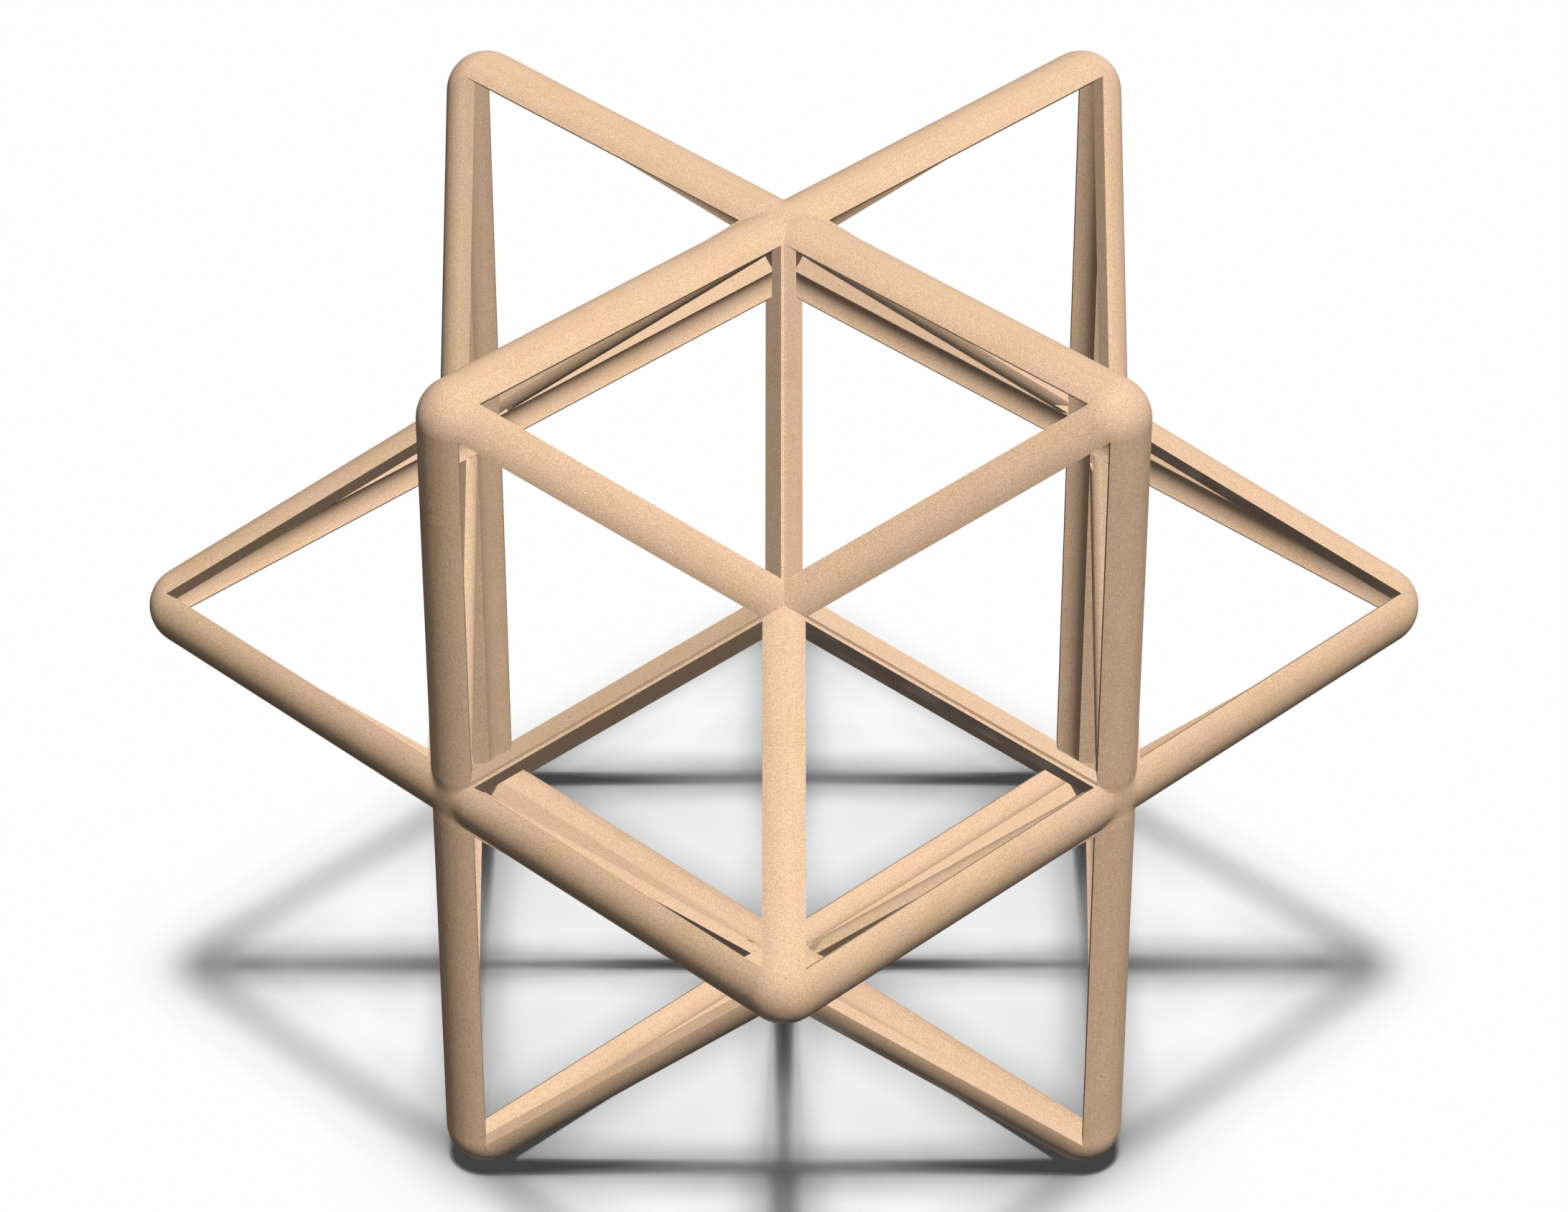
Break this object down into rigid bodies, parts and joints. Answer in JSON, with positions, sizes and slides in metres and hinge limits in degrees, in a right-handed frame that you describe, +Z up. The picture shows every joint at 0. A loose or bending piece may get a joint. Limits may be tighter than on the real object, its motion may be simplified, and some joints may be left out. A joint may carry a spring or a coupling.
{
  "type": "burr puzzle",
  "caption": "Open wooden star puzzle: a hollow frame of rounded bars in the shape of Escher's solid, made of identical sticks that slide apart.",
  "frame": {"origin": "centre of the puzzle's footprint, on the surface it stands on", "axes": "+Z up; +X, +Y and +Z are the puzzle's three four-fold directions, and each stick lies on one of them"},
  "size_m": [0.1158, 0.1158, 0.1158],
  "materials": {
    "wood": "bare, fine sanded"
  },
  "bodies": {
    "right_stick": {"right_spine": "wood", "right_rib_top": "wood", "right_strut_top_back": "wood", "right_strut_top_front": "wood", "right_rib_bottom": "wood", "right_strut_bottom_back": "wood", "right_strut_bottom_front": "wood", "right_lips_back": "wood", "right_lips_front": "wood"},
    "left_stick": {"left_spine": "wood", "left_rib_top": "wood", "left_strut_top_front": "wood", "left_strut_top_back": "wood", "left_rib_bottom": "wood", "left_strut_bottom_front": "wood", "left_strut_bottom_back": "wood", "left_lips_front": "wood", "left_lips_back": "wood"},
    "back_stick": {"back_spine": "wood", "back_rib_right": "wood", "back_strut_right_top": "wood", "back_strut_right_bottom": "wood", "back_rib_left": "wood", "back_strut_left_top": "wood", "back_strut_left_bottom": "wood", "back_lips_top": "wood", "back_lips_bottom": "wood"},
    "front_stick": {"front_spine": "wood", "front_rib_right": "wood", "front_strut_right_bottom": "wood", "front_strut_right_top": "wood", "front_rib_left": "wood", "front_strut_left_bottom": "wood", "front_strut_left_top": "wood", "front_lips_bottom": "wood", "front_lips_top": "wood"},
    "top_stick": {"top_spine": "wood", "top_rib_back": "wood", "top_strut_back_right": "wood", "top_strut_back_left": "wood", "top_rib_front": "wood", "top_strut_front_right": "wood", "top_strut_front_left": "wood", "top_lips_right": "wood", "top_lips_left": "wood"},
    "bottom_stick": {"bottom_spine": "wood", "bottom_rib_back": "wood", "bottom_strut_back_left": "wood", "bottom_strut_back_right": "wood", "bottom_rib_front": "wood", "bottom_strut_front_left": "wood", "bottom_strut_front_right": "wood", "bottom_lips_left": "wood", "bottom_lips_right": "wood"}
  },
  "joints": [
    {"name": "half_slide", "type": "slide", "parent": "bottom_stick", "child": "top_stick", "axis": [0.5774, 0.5774, 0.5774], "range_m": [0, 0.07]},
    {"name": "right_stick_slide", "type": "slide", "parent": "top_stick", "child": "right_stick", "axis": [1, 0, 0], "range_m": [0, 0.055]},
    {"name": "back_stick_slide", "type": "slide", "parent": "top_stick", "child": "back_stick", "axis": [0, 1, 0], "range_m": [0, 0.055]},
    {"name": "left_stick_slide", "type": "slide", "parent": "bottom_stick", "child": "left_stick", "axis": [-1, 0, 0], "range_m": [0, 0.055]},
    {"name": "front_stick_slide", "type": "slide", "parent": "bottom_stick", "child": "front_stick", "axis": [0, -1, 0], "range_m": [0, 0.055]}
  ]
}
